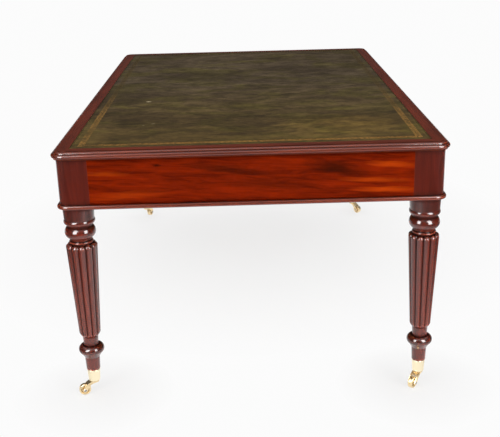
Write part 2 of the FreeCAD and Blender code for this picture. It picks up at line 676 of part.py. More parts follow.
def caster_wheel():
    """A brass wheel with a rounded tread, a dished web and a hub."""
    bore = AXLE_RADIUS + AXLE_FIT
    half = WHEEL_WIDTH / 2
    web = WHEEL_WEB / 2
    hub = HUB_WIDTH / 2
    rim = WHEEL_RADIUS - WHEEL_RIM
    side = WHEEL_RADIUS - WHEEL_EDGE
    edge = half - WHEEL_EDGE
    upper = [(bore, hub), (HUB_RADIUS, hub), (HUB_RADIUS + WHEEL_SLOPE, web)]
    upper += [(rim - WHEEL_SLOPE, web), (rim, half), (side, half)]
    lower = [(r, -y) for r, y in reversed(upper)]
    mid_r, mid_y = corner_point((WHEEL_RADIUS, edge), (side, half), QUARTER_ROUND)
    tread = [(mid_r, mid_y, WHEEL_RADIUS, edge), (WHEEL_RADIUS, -edge), (mid_r, -mid_y, side, -half)]
    return on_axle(turned(upper + tread + lower[1:]))


def caster_axle():
    """A plain pin with a riveted head at each end."""
    half = HUB_WIDTH / 2 + HUB_GAP + CHEEK_THICKNESS
    tip = half + AXLE_HEAD_HEIGHT
    head = AXLE_HEAD_RADIUS
    steps = [(0, -tip), (*cap(head, -half, -tip), head, -half), (AXLE_RADIUS, -half)]
    steps += [(AXLE_RADIUS, half), (head, half), (*cap(head, half, tip), 0, tip)]
    return on_axle(turned(steps))


def place_caster(shape, sx, sy, heading):
    """Turn a caster piece to its heading and set it under its leg."""
    placed = shape.copy()
    placed.rotate(V(0, 0, 0), UP, heading)
    placed.translate(V(sx * LEG_X, sy * LEG_Y, 0))
    return placed


# A drawer is made for the right side at Y = 0 and then turned and moved to its place.
FRONT_HALF = OPENING_WIDTH / 2 - DRAWER_GAP
FRONT_LOW = OPENING_LOW + DRAWER_REST_GAP
FRONT_HIGH = OPENING_HIGH - DRAWER_GAP
FRONT_BACK_X = FRIEZE_X - FRONT_THICKNESS
DRAWER_END_X = CENTRE_RAIL_THICKNESS / 2 + DRAWER_BACK_GAP
SIDE_HIGH = FRONT_HIGH - SIDE_DROP
PANEL_LOW = FRONT_LOW + BOTTOM_RAISE
PANEL_HIGH = PANEL_LOW + BOTTOM_THICKNESS


def drawer_panel():
    """The bottom panel, let into the sides and the front and running under the back."""
    half = FRONT_HALF - SIDE_THICKNESS + GROOVE_DEPTH
    return block(DRAWER_END_X, FRONT_BACK_X + GROOVE_DEPTH, -half, half, PANEL_LOW, PANEL_HIGH)


def drawer_back():
    """The back, standing on the bottom panel and let into the sides."""
    half = FRONT_HALF - SIDE_THICKNESS + BACK_HOUSING
    high = SIDE_HIGH - BACK_DROP
    return block(DRAWER_END_X, DRAWER_END_X + BACK_THICKNESS, -half, half, PANEL_HIGH, high)


def drawer_sides():
    """Two sides with dovetails at the front, grooved for the bottom and housed for the back."""
    made = []
    tip_x = FRIEZE_X - LAP
    first = PANEL_HIGH
    step = (SIDE_HIGH - first) / TAILS
    for sign in (-1, 1):
        outer = sign * FRONT_HALF
        inner = sign * (FRONT_HALF - SIDE_THICKNESS)
        side = block(DRAWER_END_X, FRONT_BACK_X, outer, inner, FRONT_LOW, SIDE_HIGH)
        for number in range(TAILS):
            middle = first + (number + 0.5) * step
            root = TAIL_NARROW / 2
            end = root + TAIL_FLARE
            face = polygon([V(FRONT_BACK_X, outer, middle - root), V(tip_x, outer, middle - end),
                            V(tip_x, outer, middle + end), V(FRONT_BACK_X, outer, middle + root)])
            side = side.fuse(face.extrude(V(0, inner - outer, 0)))
        made.append(solid(side.cut([drawer_panel(), drawer_back()])))
    return made


def drawer_front(knob_holes):
    """The front with a cock bead round its face, socketed for the dovetails and grooved for the bottom."""
    front = block(FRONT_BACK_X, FRIEZE_X, -FRONT_HALF, FRONT_HALF, FRONT_LOW, FRONT_HIGH)
    proud = FRIEZE_X + COCK_BEAD_PROJECTION
    bead = block(FRIEZE_X, proud, -FRONT_HALF, FRONT_HALF, FRONT_LOW, FRONT_HIGH)
    noses = [edge for edge in bead.Edges if edge.BoundBox.XMin > proud - TOUCH]
    bead = bead.makeFillet(COCK_BEAD_ROUND, noses)
    half = FRONT_HALF - COCK_BEAD_WIDTH
    low = FRONT_LOW + COCK_BEAD_WIDTH
    high = FRONT_HIGH - COCK_BEAD_WIDTH
    bead = bead.cut(block(FRIEZE_X, proud, -half, half, low, high))
    return solid(front.fuse(bead).cut([drawer_panel()] + drawer_sides() + knob_holes))


def drawer_knobs():
    """Two turned knobs, each with a spigot through the front, and the holes for the spigots."""
    widest = (KNOB_RADIUS, KNOB_WIDEST_AT)
    face = (KNOB_FACE_RADIUS, KNOB_WIDEST_AT + KNOB_RIM_HEIGHT)
    steps = [(0, -FRONT_THICKNESS), (KNOB_SPIGOT_RADIUS, -FRONT_THICKNESS), (KNOB_SPIGOT_RADIUS, 0)]
    steps += [(KNOB_FOOT_RADIUS, 0), (KNOB_FOOT_RADIUS, KNOB_FOOT_HEIGHT - KNOB_FOOT_BEVEL)]
    steps += [(KNOB_FOOT_RADIUS - KNOB_FOOT_BEVEL, KNOB_FOOT_HEIGHT)]
    steps += [(KNOB_NECK_RADIUS, KNOB_NECK_AT, *widest)]
    steps += [(*corner_point(widest, face, QUARTER_ROUND), *face)]
    steps += [(*cap(KNOB_FACE_RADIUS, face[1], KNOB_PROJECTION), 0, KNOB_PROJECTION)]
    middle = (FRONT_LOW + FRONT_HIGH) / 2
    radius = KNOB_SPIGOT_RADIUS + KNOB_SPIGOT_GAP
    knobs = []
    holes = []
    for sign in (-1, 1):
        place = V(FRIEZE_X, sign * KNOB_SPACING / 2, middle)
        knob = turned(steps)
        knob.rotate(V(0, 0, 0), V(0, 1, 0), 90)
        knob.translate(place)
        knobs.append(knob)
        holes.append(Part.makeCylinder(radius, FRONT_THICKNESS, place, V(-1, 0, 0)))
    return knobs, holes


def place_drawer(shape, side, number):
    """Turn a drawer piece to its side and move it along to its opening."""
    placed = shape.copy()
    if side < 0:
        placed.rotate(V(0, 0, 0), UP, 180)
    placed.translate(V(0, (number - (DRAWERS_PER_SIDE - 1) / 2) * PITCH, 0))
    return placed


def save(name, *shapes):
    """Write one node: a single solid, or a group of separate ones."""
    shape = shapes[0] if len(shapes) == 1 else Part.makeCompound(list(shapes))
    shape.exportStep("parts/" + name + ".step")


os.makedirs("parts", exist_ok=True)

runners = bearers(OPENING_LOW - RUNNER_THICKNESS, OPENING_LOW, GUIDE_HEIGHT)
kickers = bearers(OPENING_HIGH, TOP_BOTTOM, 0)
uprights = dividers()
screw_holes = top_screws(SCREW_GAP)

save("top_board", top_board(screw_holes))
save("leather_top", leather())
for name, piece in top_border().items():
    save("top_edge_" + name, piece)
for name, piece in frieze_beads().items():
    save("bead_" + name, piece)

rail_end = end_rail()
save("end_rail_back", rail_end)
save("end_rail_front", rail_end.mirror(V(0, 0, 0), V(0, 1, 0)))
save("centre_rail", solid(centre_rail_blank().cut(runners + kickers)))
for name, side in SIDES.items():
    upper = side_rail_blank(side, OPENING_HIGH, TOP_BOTTOM)
    lower = side_rail_blank(side, FRIEZE_BOTTOM, OPENING_LOW)
    save("upper_rail_" + name, solid(upper.cut(kickers + uprights)))
    save("lower_rail_" + name, solid(lower.cut(runners + uprights)))
save("drawer_dividers", *uprights)
save("drawer_runners", *runners)
save("drawer_kickers", *[solid(kicker.cut(screw_holes)) for kicker in kickers])
save("top_screws", *top_screws(0))

right_upper = side_rail_blank(1, OPENING_HIGH, TOP_BOTTOM)
right_lower = side_rail_blank(1, FRIEZE_BOTTOM, OPENING_LOW)
all_cup_screws = []
for name, (sx, sy, heading, reed_turn) in CORNERS.items():
    corner_leg = leg([rail_end, right_upper, right_lower], sx * sy * reed_turn)
    holes = [place_caster(hole, sx, sy, 0) for hole in cup_screws(SCREW_GAP)]
    save("leg_" + name, solid(to_corner(corner_leg, sx, sy).cut(holes)))
    save("caster_cup_" + name, place_caster(caster_cup(), sx, sy, 0))
    save("caster_fork_" + name, place_caster(caster_fork(), sx, sy, heading))
    save("caster_wheel_" + name, place_caster(caster_wheel(), sx, sy, heading))
    save("caster_axle_" + name, place_caster(caster_axle(), sx, sy, heading))
    all_cup_screws += [place_caster(screw, sx, sy, 0) for screw in cup_screws(0)]
save("caster_screws", *all_cup_screws)

knobs, knob_holes = drawer_knobs()
front = drawer_front(knob_holes)
box_pieces = drawer_sides() + [drawer_back(), drawer_panel()]
for name, side in SIDES.items():
    for number in range(DRAWERS_PER_SIDE):
        drawer = "drawer_" + name + "_" + str(number + 1)
        save(drawer + "_front", place_drawer(front, side, number))
        save(drawer + "_box", *[place_drawer(piece, side, number) for piece in box_pieces])
        save(drawer + "_knobs", *[place_drawer(knob, side, number) for knob in knobs])
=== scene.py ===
# %% [markdown]
# # A partners' writing table
# The table was modelled as solids: a framed top, a frieze with drawers in both long sides, four
# reeded legs and brass casters. This lesson dresses those solids for a picture. Wood, brass and
# steel keep their solid shapes and get a surface. The leather is made again as a real skin, because
# its gilt tooling and soft surface are too fine for a solid.

# %% Load the solids
import math

import bmesh
import bpy
from mathutils import Matrix, Vector, noise


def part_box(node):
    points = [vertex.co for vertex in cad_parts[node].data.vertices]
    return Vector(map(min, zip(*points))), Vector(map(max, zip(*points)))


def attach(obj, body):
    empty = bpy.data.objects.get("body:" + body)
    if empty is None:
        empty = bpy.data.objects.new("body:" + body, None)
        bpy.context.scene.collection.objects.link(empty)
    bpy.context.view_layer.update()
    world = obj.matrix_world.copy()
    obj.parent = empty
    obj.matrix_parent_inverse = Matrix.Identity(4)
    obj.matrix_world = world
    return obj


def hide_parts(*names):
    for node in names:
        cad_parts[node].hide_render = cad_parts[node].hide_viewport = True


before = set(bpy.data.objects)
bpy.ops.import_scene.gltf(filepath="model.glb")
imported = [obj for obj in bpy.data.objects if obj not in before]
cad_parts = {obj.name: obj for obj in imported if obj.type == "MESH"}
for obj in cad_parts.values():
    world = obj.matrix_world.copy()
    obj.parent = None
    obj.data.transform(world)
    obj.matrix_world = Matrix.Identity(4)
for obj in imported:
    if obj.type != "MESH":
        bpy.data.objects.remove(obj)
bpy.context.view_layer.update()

MM = 0.001

# %% [markdown]
# ## Small tools
# Colours are easy to read as web codes, which are sRGB, while shaders count in linear light, so one
# function turns the first into the second. Shader nodes could be wired by hand in the editor, but a
# script can be read and run again. One function adds a node: plain values set its inputs, and
# sockets are linked to them. It gives back the node's outputs, so a node can stand inside the
# inputs of the next one. Another tool spells out the four limits that a Map Range node asks for, and
# the last one starts an empty material.

# %% Colour and node tools
# A Mix node lists sockets for numbers and for colours one after the other, so they go by number.
NUMBER_A, NUMBER_B = 2, 3
MIX_A, MIX_B, MIX_OUT = 6, 7, 2
COLOURS = {"data_type": "RGBA"}
WHOLE = (0.0, 1.0)


def paint(code):
    """A web colour as the linear colour that shaders use, by the curve of the sRGB standard."""
    parts = [int(code[i:i + 2], 16) / 255 for i in (1, 3, 5)]
    linear = [p / 12.92 if p <= 0.04045 else ((p + 0.055) / 1.055) ** 2.4 for p in parts]
    return (*linear, 1.0)


def add(tree, kind, inputs=(), **settings):
    """Add a node and give back its outputs.

    Inputs are values or sockets by name or number, settings are the node's own options.
    """
    node = tree.nodes.new(kind)
    for name, value in settings.items():
        setattr(node, name, value)
    for name, value in dict(inputs).items():
        if isinstance(value, bpy.types.NodeSocket):
            tree.links.new(value, node.inputs[name])
        else:
            node.inputs[name].default_value = value
    return node.outputs


def span(source, target=WHOLE):
    """The limits of a range that goes through target while its input goes through source."""
    return {"From Min": source[0], "From Max": source[1], "To Min": target[0], "To Max": target[1]}


def new_material(name):
    """An empty material and its node tree."""
    material = bpy.data.materials.new(name)
    material.use_nodes = True
    material.node_tree.nodes.clear()
    return material, material.node_tree


print("tools ready, mid grey is", round(paint("#808080")[0], 3), "in linear light")

# %% [markdown]
# ## The pattern of wood
# Wood is long fibres, so along a board its pattern is drawn out many times longer than it is wide.
# It could be painted on, but a noise whose space is stretched along one axis needs no picture and
# runs right through the solid, as real grain does. A broad noise gives the figure, a fine one the
# grain lines, and a sparse one the open pores, which show as short dark dashes. Real grain lines
# are a fifth of a millimetre wide. They are drawn coarser here, because finer ones would not show
# at the size of the picture.

# %% Figure, grain and pores
X, Y, Z = range(3)
PORE_COLOUR = "#160604"
PORE_STRETCH = 50
GRAIN_LINE = 1.8 * MM
PORE_WIDTH = 0.8 * MM
FIGURE_NOISE = {"Detail": 4.0, "Roughness": 0.55, "Distortion": 0.8}
GRAIN_NOISE = {"Detail": 3.0}
PORE_NOISE = {"Detail": 1.0}
# Each pair is the noise level where a mark starts and where it is full. Depth is its strength.
CLOUDS = (0.68, 0.32)
LINES, LINE_DEPTH = (0.40, 0.70), 0.28
PORES, PORE_DEPTH = (0.62, 0.74), 0.30


def wood_pattern(tree, coord, along, dark, light, figure):
    """Colour of bare wood, with its broad and its fine noise.

    Figure is its width in mm, how many times longer it is, its strength and its fall in degrees.
    """
    width, stretch, strength, fall = figure
    turn = [0.0, 0.0, 0.0]
    turn[X if along == Y else Y] = math.radians(fall)
    spaces = []
    for longer in (stretch, PORE_STRETCH):
        scale = [1.0, 1.0, 1.0]
        scale[along] = longer
        spaces.append(add(tree, "ShaderNodeMapping", {
            "Vector": coord, "Rotation": turn, "Scale": scale}, vector_type="TEXTURE")["Vector"])
    fibre, dash = spaces
    broad = add(tree, "ShaderNodeTexNoise", {
        "Vector": fibre, "Scale": 1 / (width * MM), **FIGURE_NOISE})["Fac"]
    fine = add(tree, "ShaderNodeTexNoise", {
        "Vector": dash, "Scale": 1 / GRAIN_LINE, **GRAIN_NOISE})["Fac"]
    pore = add(tree, "ShaderNodeTexNoise", {
        "Vector": dash, "Scale": 1 / PORE_WIDTH, **PORE_NOISE})["Fac"]
    layers = [
        (broad, CLOUDS, strength, dark),
        (fine, LINES, LINE_DEPTH, dark),
        (pore, PORES, PORE_DEPTH, paint(PORE_COLOUR)),
    ]
    colour = light
    for value, limits, depth, tone in layers:
        share = add(tree, "ShaderNodeMapRange", {
            "Value": value, **span(limits, (0.0, depth))})["Result"]
        colour = add(tree, "ShaderNodeMix", {
            "Factor": share, MIX_A: colour, MIX_B: tone}, **COLOURS)[MIX_OUT]
    return colour, broad, fine


print("grain lines", GRAIN_LINE / MM, "mm, pores", PORE_WIDTH / MM, "mm")

# %% [markdown]
# ## Marks in one place
# Noise is the same everywhere, and real material isn't. The flame veneer on each end of the table
# is one wide sheet with its own marks: a small knot, dark streaks that sink slowly to the right, and
# glowing patches on its left and right, which are partly figure and partly painted light. Each
# could be painted, but a soft ellipse is enough at this size and is written in one line. A Mapping
# node set to Texture moves, turns and scales the space so that the ellipse becomes a unit ball, a
# noise bends it out of shape, and a spherical gradient fades it from the middle to the rim. The same
# tool later lays old wax with painted shade on legs, and scuffs and a painted pool of light on hide.

# %% Soft marks
MARK_BEND = 0.55
MARK_NOISE = {"Scale": 1.7, "Detail": 3.0}
MARK_FADE = (0.0, 0.8)
# A mark reaches this far, in metres, through the third direction, so it shows on all that it meets.
MARK_DEEP = 10.0
# The glow patches at both ends are partly flame figure and partly painted light.
STREAK_COLOUR, GLOW_AND_LIGHT_COLOUR = "#2c0d02", "#c44404"
END_MARKS = [
    # middle across and up, half length, half height (all in mm), fall to the right in degrees,
    # colour, strength
    (-251, 706, 15, 5, 0, STREAK_COLOUR, 0.8),
    (-60, 690, 165, 16, 9, STREAK_COLOUR, 0.6),
    (230, 686, 110, 26, 10, STREAK_COLOUR, 0.7),
    (60, 645, 170, 26, 3, STREAK_COLOUR, 0.4),
    (-390, 686, 85, 9, 2, GLOW_AND_LIGHT_COLOUR, 0.45),
    (-330, 625, 140, 16, -3, GLOW_AND_LIGHT_COLOUR, 0.3),
    (375, 692, 85, 11, 3, GLOW_AND_LIGHT_COLOUR, 0.7),
    (330, 650, 120, 9, 2, GLOW_AND_LIGHT_COLOUR, 0.55),
    (365, 622, 120, 10, 1, GLOW_AND_LIGHT_COLOUR, 0.7),
]


def marked(tree, coord, colour, marks, up_axis=Z):
    """Colour with soft marks laid over it, on a surface that spans X and one other axis."""
    for across, up, half_length, half_height, fall, code, strength in marks:
        centre = [across * MM, 0.0, 0.0]
        centre[up_axis] = up * MM
        half = [half_length * MM, MARK_DEEP, MARK_DEEP]
        half[up_axis] = half_height * MM
        turn = [0.0, 0.0, 0.0]
        turn[Y if up_axis == Z else Z] = math.radians(fall)
        local = add(tree, "ShaderNodeMapping", {
            "Vector": coord, "Location": centre, "Rotation": turn, "Scale": half},
            vector_type="TEXTURE")["Vector"]
        bend = add(tree, "ShaderNodeTexNoise", {"Vector": local, **MARK_NOISE})["Color"]
        bent = add(tree, "ShaderNodeMix", {
            "Factor": MARK_BEND, MIX_A: local, MIX_B: bend},
            blend_type="LINEAR_LIGHT", **COLOURS)[MIX_OUT]
        soft = add(tree, "ShaderNodeTexGradient", {"Vector": bent}, gradient_type="SPHERICAL")["Fac"]
        share = add(tree, "ShaderNodeMapRange", {
            "Value": soft, **span(MARK_FADE, (0.0, strength))})["Result"]
        colour = add(tree, "ShaderNodeMix", {
            "Factor": share, MIX_A: colour, MIX_B: paint(code)}, **COLOURS)[MIX_OUT]
    return colour


print("veneer marks:", len(END_MARKS))

# %% [markdown]
# ## Wear, painted light and painted shade
# Polish wears pale where hands and cloths rub it, and old wax gathers dark in hollows. On top of
# that, crests are painted paler for the light that falls on them, and hollows are painted darker
# for the shade in them. All of it could be painted by hand, but three nodes find the places from
# the shape itself. A Bevel node finds sharp edges by comparing the true normal with a rounded one.
# Ambient Occlusion looks outward and finds hollows. With Inside switched on it looks into the wood
# instead and finds crests that are only a few millimetres thick, such as the reeds and rings of the
# legs. It finds plain square edges too and would draw pale lines down the square head of a leg, so
# crests count only below the head.

# %% Rubbed edges, crests with wear and painted light, hollows with wax and painted shade
EDGE_RADIUS = 1.6 * MM
EDGE_TURN, EDGE_WEAR, EDGE_SAMPLES = (0.97, 0.80), 0.5, 4
CREST_REACH = 6 * MM
CRESTS, CREST_SAMPLES = (0.95, 0.82), 12
TURNED_TOP = (588 * MM, 578 * MM)
HOLLOW_REACH = 14 * MM
# Hollows turn toward this colour, which is partly old wax and partly painted shade.
HOLLOW_WAX_AND_SHADE = "#0e0402"
HOLLOWS, HOLLOW_DEPTH, HOLLOW_SAMPLES = (0.98, 0.52), 0.97, 4


def rubbed_and_lit_crests(tree, coord, crest_wear_and_light):
    """How much a place is a thin crest on the turned part of a leg, paled by wear and painted light.
    """
    thick = add(tree, "ShaderNodeAmbientOcclusion", {"Distance": CREST_REACH},
                samples=CREST_SAMPLES, inside=True)["AO"]
    thin = add(tree, "ShaderNodeMapRange", {"Value": thick, **span(CRESTS)})["Result"]
    height = add(tree, "ShaderNodeSeparateXYZ", {"Vector": coord})["Z"]
    turned = add(tree, "ShaderNodeMapRange", {
        "Value": height, **span(TURNED_TOP, (0.0, crest_wear_and_light))})["Result"]
    return add(tree, "ShaderNodeMath", {0: thin, 1: turned}, operation="MULTIPLY")["Value"]


def worn_lit_and_shaded(tree, coord, colour, worn, broad, crest_wear_and_light):
    """Colour with wear, painted light on crests and painted shade in hollows, and the share of hollow.
    """
    rounded = add(tree, "ShaderNodeBevel", {"Radius": EDGE_RADIUS}, samples=EDGE_SAMPLES)["Normal"]
    normal = add(tree, "ShaderNodeNewGeometry")["Normal"]
    turn = add(tree, "ShaderNodeVectorMath", {0: rounded, 1: normal},
               operation="DOT_PRODUCT")["Value"]
    edge = add(tree, "ShaderNodeMapRange", {
        "Value": turn, **span(EDGE_TURN, (0.0, EDGE_WEAR))})["Result"]
    wear = add(tree, "ShaderNodeMath", {0: edge, 1: broad}, operation="MULTIPLY")["Value"]
    if crest_wear_and_light:
        crest = rubbed_and_lit_crests(tree, coord, crest_wear_and_light)
        wear = add(tree, "ShaderNodeMath", {0: wear, 1: crest}, operation="MAXIMUM")["Value"]
    edged = add(tree, "ShaderNodeMix", {
        "Factor": wear, MIX_A: colour, MIX_B: worn}, **COLOURS)[MIX_OUT]
    open_share = add(tree, "ShaderNodeAmbientOcclusion", {"Distance": HOLLOW_REACH},
                     samples=HOLLOW_SAMPLES)["AO"]
    hollow = add(tree, "ShaderNodeMapRange", {
        "Value": open_share, **span(HOLLOWS, (0.0, HOLLOW_DEPTH))})["Result"]
    darkened = add(tree, "ShaderNodeMix", {
        "Factor": hollow, MIX_A: edged, MIX_B: paint(HOLLOW_WAX_AND_SHADE)}, **COLOURS)[MIX_OUT]
    return darkened, hollow


print("crests are looked for within", CREST_REACH / MM, "mm, hollows within", HOLLOW_REACH / MM, "mm")

# %% [markdown]
# ## Polish
# French polish is a thin film of shellac over stained wood. One glossy shader could stand for both,
# but the film mirrors the room sharply while the wood under it hardly shines. So the shine is a
# clear coat, and the base keeps a low specular level. The pad that rubs the polish in doesn't reach
# hollows, so the coat fades out there. Shellac has an IOR of about 1.5, and the value was raised
# from there until the highlights were as clear as in the photograph. Planed wood has no film and is
# matt.

# %% Wood
FILM_ROUGHNESS, FILM_IOR = 0.11, 1.65
FILM_FADE = (0.05, 0.55)
GLOSS_SWING = (0.8, 1.3)
GRAIN_BUMP, GRAIN_DEPTH = 0.08, 0.1 * MM


def wood(name, along, colours, figure, shine, marks=(), crest_wear_and_light=0.0):
    """Wood with its fibres along one axis.

    Colours are dark, light and worn, and the worn colour also paints light on the crests. Shine is
    roughness, specular level and coat weight. Crest wear and light is how much of the worn colour
    shows on the crests of a turned leg, as wear and painted light.
    """
    dark, light, worn = (paint(code) for code in colours)
    roughness, specular, coat = shine
    material, tree = new_material(name)
    coord = add(tree, "ShaderNodeTexCoord")["Object"]
    colour, broad, fine = wood_pattern(tree, coord, along, dark, light, figure)
    colour = marked(tree, coord, colour, marks)
    colour, hollow = worn_lit_and_shaded(tree, coord, colour, worn, broad, crest_wear_and_light)
    film = coat
    if coat:
        film = add(tree, "ShaderNodeMapRange", {
            "Value": hollow, **span(FILM_FADE, (coat, 0.0))})["Result"]
    swing = [roughness * share for share in GLOSS_SWING]
    gloss = add(tree, "ShaderNodeMapRange", {"Value": broad, **span(WHOLE, swing)})["Result"]
    bump = add(tree, "ShaderNodeBump", {
        "Height": fine, "Strength": GRAIN_BUMP, "Distance": GRAIN_DEPTH})["Normal"]
    shader = add(tree, "ShaderNodeBsdfPrincipled", {
        "Base Color": colour, "Roughness": gloss, "Normal": bump, "Specular IOR Level": specular,
        "Coat Weight": film, "Coat Roughness": FILM_ROUGHNESS, "Coat IOR": FILM_IOR})["BSDF"]
    add(tree, "ShaderNodeOutputMaterial", {"Surface": shader})
    print("wood:", name)
    return material


print("film roughness", FILM_ROUGHNESS, "and IOR", FILM_IOR)

# %% [markdown]
# ## The woods of this table
# Mahogany is red-brown and darkens with age. Legs, borders and rails are solid wood with a calm
# straight grain, and the ends and drawer fronts carry flame veneer, which is redder and livelier.
# Inside, where nobody looks, makers used plain oak and pine straight from the plane. One function
# makes them all, because they differ only in colour, figure, shine and marks.

# %% Make the woods
POLISHED = (0.40, 0.08, 1.0)
VENEERED = (0.40, 0.0, 0.6)
PLANED = (0.62, 0.20, 0.0)
RED_BROWN = ("#310a02", "#701f0a", "#9c432c")
# The legs' mahogany made lighter, as painted light on mouldings that face up to the lamps.
BORDER_PAINTED_LIGHT = ("#481605", "#883419", "#aa613f")
FLAME = ("#4a0d00", "#902300", "#993106")
OAK = ("#8a6438", "#b98e58", "#c9a574")
PINE = ("#8c6a40", "#bd9460", "#caa878")
MOULDING = (22, 14, 0.6, 0)
FIGURED = (13, 9, 0.75, 3)
OAK_FIGURE = (18, 14, 0.8, 0)
PINE_FIGURE = (22, 14, 0.8, 0)
# The dark of old wax, which also paints shade and a dark reflection on the legs.
HEAD_RED, OLD_WAX_AND_SHADE = "#601400", "#160603"
LEG_MARKS = [
    # as in the veneer, but long enough to go all round a leg: the red head, old wax with a painted
    # shadow on the drum below the frieze, and old wax with a painted dark reflection on the ring above
    # the foot
    (0, 655, 2000, 110, 0, HEAD_RED, 0.4),
    (0, 566, 2000, 32, 0, OLD_WAX_AND_SHADE, 0.35),
    (0, 152, 2000, 18, 0, OLD_WAX_AND_SHADE, 0.60),
]
# Turned and polished on the lathe: dark and deep, with small sharp highlights, and crests made paler
# by wear and painted light.
turned_mahogany = wood("mahogany_turned_french_polished", Z, RED_BROWN, MOULDING, POLISHED,
                       LEG_MARKS, crest_wear_and_light=1.0)
# Moulded with a plane and polished along its length: calm lines and one long highlight.
cross_mahogany = wood("mahogany_moulded_across", X, BORDER_PAINTED_LIGHT, MOULDING, POLISHED)
long_mahogany = wood("mahogany_moulded_along", Y, BORDER_PAINTED_LIGHT, MOULDING, POLISHED)
# Sawn into veneer, glued flat and polished: a clear warm red with a lively figure.
flame_veneer = wood("mahogany_flame_veneer_french_polished", X, FLAME, FIGURED, VENEERED, END_MARKS)
front_veneer = wood("mahogany_flame_veneer_drawer_front", Y, FLAME, FIGURED, VENEERED)
# Left from the plane: pale and matt.
planed_oak = wood("oak_planed", X, OAK, OAK_FIGURE, PLANED)
planed_pine = wood("pine_planed", Y, PINE, PINE_FIGURE, PLANED)

# %% [markdown]
# ## Waxed leather
# A desk leather is thin hide, dyed and waxed by hand. The dye lies in clouds, wiped across the
# table in short dark streaks, and close up the grain is a net of tiny cells. One noise would look
# like stone, so four noises of different size, all drawn out across the table, make olive patches,
# clouds, streaks and specks. The hide is greyer at the far end, partly as painted sheen, and
# yellower at the near end. It has one painted pool of light at the right front under its dye, and a
# few pale scuffs over it.

# %% Dyed hide
# The far colour is greyer, partly as painted sheen.
HIDE_FAR_AND_SHEEN, HIDE_NEAR = "#675843", "#7a622f"
DYE, OLIVE = "#251b12", "#675f22"
# Places along the table, in metres, over which the near colour comes in, and its share at both.
NEAR_END, NEAR_SHARE = (0.10, -0.75), (0.0, 0.85)
# Coordinates across the table count by this share only, which draws the spots out that way.
WIPED = (0.55, 1.0, 1.0)
DYE_NOISE = {"Detail": 3.0, "Roughness": 0.6, "Distortion": 0.5}
DYES = [
    # colour, size in mm, noise from where it starts to where it is full, strength
    (OLIVE, 90, (0.45, 0.62), 0.50),
    (DYE, 190, (0.40, 0.62), 0.50),
    (DYE, 44, (0.36, 0.70), 0.66),
    (DYE, 13, (0.36, 0.70), 0.52),
]
SCUFF_COLOUR, PAINTED_LIGHT_COLOUR = "#b5a582", "#a3823c"
SCUFFS = [
    # middle across and along, half length, half width (all in mm), turn in degrees, colour, strength
    (-328, -209, 12, 11, 0, SCUFF_COLOUR, 1.0),
    (-285, -527, 8, 5, 20, SCUFF_COLOUR, 0.5),
    (-312, -545, 5, 4, 0, SCUFF_COLOUR, 0.5),
]
# A painted pool of light on the right front of the hide.
PAINTED_LIGHT_PATCH = [(300, -600, 260, 170, 0, PAINTED_LIGHT_COLOUR, 0.6)]


def dyed_hide(tree, coord):
    """Colour of the hide, and the noise of its finest dye."""
    wiped = add(tree, "ShaderNodeMapping", {"Vector": coord, "Scale": WIPED})["Vector"]
    place_y = add(tree, "ShaderNodeSeparateXYZ", {"Vector": coord})["Y"]
    near = add(tree, "ShaderNodeMapRange", {
        "Value": place_y, **span(NEAR_END, NEAR_SHARE)})["Result"]
    colour = add(tree, "ShaderNodeMix", {
        "Factor": near, MIX_A: paint(HIDE_FAR_AND_SHEEN), MIX_B: paint(HIDE_NEAR)}, **COLOURS)[MIX_OUT]
    colour = marked(tree, coord, colour, PAINTED_LIGHT_PATCH, up_axis=Y)
    for dye, size, limits, strength in DYES:
        spots = add(tree, "ShaderNodeTexNoise", {
            "Vector": wiped, "Scale": 1 / (size * MM), **DYE_NOISE})["Fac"]
        share = add(tree, "ShaderNodeMapRange", {
            "Value": spots, **span(limits, (0.0, strength))})["Result"]
        colour = add(tree, "ShaderNodeMix", {
            "Factor": share, MIX_A: colour, MIX_B: paint(dye)}, **COLOURS)[MIX_OUT]
    return marked(tree, coord, colour, SCUFFS, up_axis=Y), spots


print("hide with", len(DYES), "dyes and", len(SCUFFS), "scuffs")

# %% [markdown]
# ## Grain and wax of the leather
# The cells of the grain could be modelled, but they are hardly deeper than a hair is thick. So a
# Voronoi pattern a little over a millimetre wide only moves the normal. Wax fills them and gives a
# dull shine that is smoother in some places than in others. The specular level started from the
# usual 0.5 and was lowered until the hide was as dark as in the photograph.

# %% Leather
HIDE_CELL = 1.3 * MM
HIDE_BUMP, HIDE_DEPTH = 0.35, 0.2 * MM
WAX = (0.42, 0.66)
HIDE_SPECULAR = 0.12


def waxed_leather():
    """Dark olive hide with a cell grain and a dull shine."""
    material, tree = new_material("leather_hide_dyed_and_waxed")
    coord = add(tree, "ShaderNodeTexCoord")["Object"]
    colour, spots = dyed_hide(tree, coord)
    cells = add(tree, "ShaderNodeTexVoronoi", {"Vector": coord, "Scale": 1 / HIDE_CELL})["Distance"]
    wax = add(tree, "ShaderNodeMapRange", {"Value": spots, **span(WHOLE, WAX)})["Result"]
    bump = add(tree, "ShaderNodeBump", {
        "Height": cells, "Strength": HIDE_BUMP, "Distance": HIDE_DEPTH})["Normal"]
    shader = add(tree, "ShaderNodeBsdfPrincipled", {
        "Base Color": colour, "Roughness": wax, "Normal": bump,
        "Specular IOR Level": HIDE_SPECULAR})["BSDF"]
    add(tree, "ShaderNodeOutputMaterial", {"Surface": shader})
    return material


# Dyed and waxed by hand: dark, cloudy and dull, with a fine grain close up.
leather = waxed_leather()
print("leather:", leather.name)

# %% [markdown]
# ## Metals
# Cast brass is bright where hands and cloths polish it and brown in its corners. A plain gold
# colour would look like plastic, so a noise lays stains on it and Ambient Occlusion finds the
# corners. The cup is polished with the leg, and wheel and fork are a deeper gold. The same function
# makes the steel of axles and screws. A metal's colour is its reflection, so the metals keep the
# default IOR and differ in colour and roughness.

